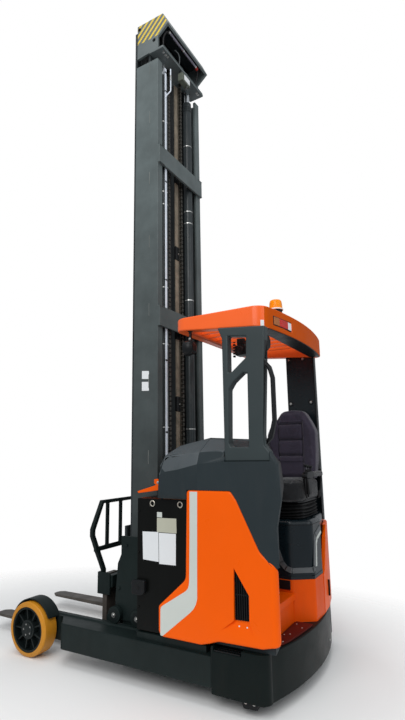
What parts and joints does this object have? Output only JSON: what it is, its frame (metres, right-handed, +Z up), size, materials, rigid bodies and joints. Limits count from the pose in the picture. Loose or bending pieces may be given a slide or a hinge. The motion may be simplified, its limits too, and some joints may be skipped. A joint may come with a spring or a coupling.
{
  "type": "reach truck",
  "caption": "Electric reach truck with straddle legs, a three-stage mast on a reach carriage, tilting side-shift forks, an overhead guard and a sideways seat.",
  "frame": {"origin": "on the floor, midway between the fork tips and the rear of the truck, on its centre line", "axes": "+X towards the fork tips, +Y to the left-hand side, +Z up"},
  "size_m": [2.632, 1.288, 5.03],
  "materials": {
    "frame_grey": "satin",
    "mast_grey": "satin",
    "battery_black": "satin",
    "motor_black": "matte",
    "orange_paint": "semi-gloss",
    "hood_grey": "matte",
    "step_mat": "matte",
    "pedestal_slate": "gloss",
    "bellows_rubber": "matte",
    "seat_cloth": "matte",
    "black_plastic": "satin",
    "beacon_amber": "gloss",
    "tyre_amber": "satin",
    "tyre_dark": "satin",
    "hub_dark": "satin",
    "cylinder_black": "satin",
    "rod_chrome": "polished",
    "chain_steel": "oiled",
    "fork_steel": "worn"
  },
  "bodies": {
    "chassis": {"leg_left": "frame_grey", "leg_right": "frame_grey", "rear_skirt": "frame_grey", "chassis_frame": "frame_grey", "battery": "battery_black", "drive_motor": "motor_black", "side_panel_left": "orange_paint", "side_panel_right": "orange_paint", "left_console": "hood_grey", "battery_hood": "hood_grey", "cab_floor": "orange_paint", "entry_step": "step_mat", "pedestal_base": "orange_paint", "pedestal_cover": "pedestal_slate", "seat_bellows": "bellows_rubber", "seat_cushion": "seat_cloth", "seat_back": "seat_cloth", "armrest": "black_plastic", "steering_wheel": "black_plastic", "pillar_left": "hood_grey", "pillar_right": "hood_grey", "overhead_guard": "orange_paint", "beacon": "beacon_amber", "work_lamps": "black_plastic"},
    "load_wheel_left": {"load_tyre_left": "tyre_amber", "load_hub_left": "hub_dark"},
    "load_wheel_right": {"load_tyre_right": "tyre_amber", "load_hub_right": "hub_dark"},
    "drive_unit": {"drive_gearbox": "motor_black"},
    "drive_wheel": {"drive_wheel": "tyre_dark"},
    "reach_carriage": {"reach_carriage": "mast_grey", "outer_mast": "mast_grey", "lift_cylinders": "cylinder_black"},
    "middle_mast": {"middle_mast": "mast_grey", "mast_head": "mast_grey", "lift_rods": "rod_chrome", "lift_chains": "chain_steel"},
    "inner_mast": {"inner_mast": "mast_grey", "free_lift_cylinder": "cylinder_black"},
    "free_lift_rod": {"free_lift_rod": "rod_chrome"},
    "lift_carriage": {"lift_carriage": "mast_grey"},
    "side_shifter": {"side_shifter": "mast_grey"},
    "fork_frame": {"fork_frame": "mast_grey", "forks": "fork_steel", "load_backrest": "mast_grey"}
  },
  "joints": [
    {"name": "load_wheel_left_spin", "type": "hinge", "parent": "chassis", "child": "load_wheel_left", "pos_m": [0.6, 0.585, 0.1775], "axis": [0, 1, 0], "continuous": true},
    {"name": "load_wheel_right_spin", "type": "hinge", "parent": "chassis", "child": "load_wheel_right", "pos_m": [0.6, -0.585, 0.1775], "axis": [0, 1, 0], "continuous": true},
    {"name": "steering", "type": "hinge", "parent": "chassis", "child": "drive_unit", "pos_m": [-1, -0.16, 0.4], "axis": [0, 0, 1], "range_deg": [-90, 90]},
    {"name": "drive_wheel_spin", "type": "hinge", "parent": "drive_unit", "child": "drive_wheel", "pos_m": [-1, -0.16, 0.1715], "axis": [0, 1, 0], "continuous": true},
    {"name": "mast_reach", "type": "slide", "parent": "chassis", "child": "reach_carriage", "axis": [1, 0, 0], "range_m": [0, 0.56]},
    {"name": "middle_lift", "type": "slide", "parent": "reach_carriage", "child": "middle_mast", "axis": [0, 0, 1], "range_m": [0, 3.85]},
    {"name": "inner_lift", "type": "slide", "parent": "middle_mast", "child": "inner_mast", "axis": [0, 0, 1], "range_m": [0, 3.85]},
    {"name": "carriage_lift", "type": "slide", "parent": "inner_mast", "child": "lift_carriage", "axis": [0, 0, 1], "range_m": [0, 4.05]},
    {"name": "free_rod_lift", "type": "slide", "parent": "inner_mast", "child": "free_lift_rod", "axis": [0, 0, 1], "range_m": [0, 2.025]},
    {"name": "side_shift", "type": "slide", "parent": "lift_carriage", "child": "side_shifter", "axis": [0, 1, 0], "range_m": [-0.075, 0.075]},
    {"name": "fork_tilt", "type": "hinge", "parent": "side_shifter", "child": "fork_frame", "pos_m": [0.06, 0, 0.575], "axis": [0, 1, 0], "range_deg": [-4, 2]}
  ],
  "couplings": [
    {"joint": "inner_lift", "follows": "middle_lift", "ratio": 1},
    {"joint": "free_rod_lift", "follows": "carriage_lift", "ratio": 0.5}
  ]
}
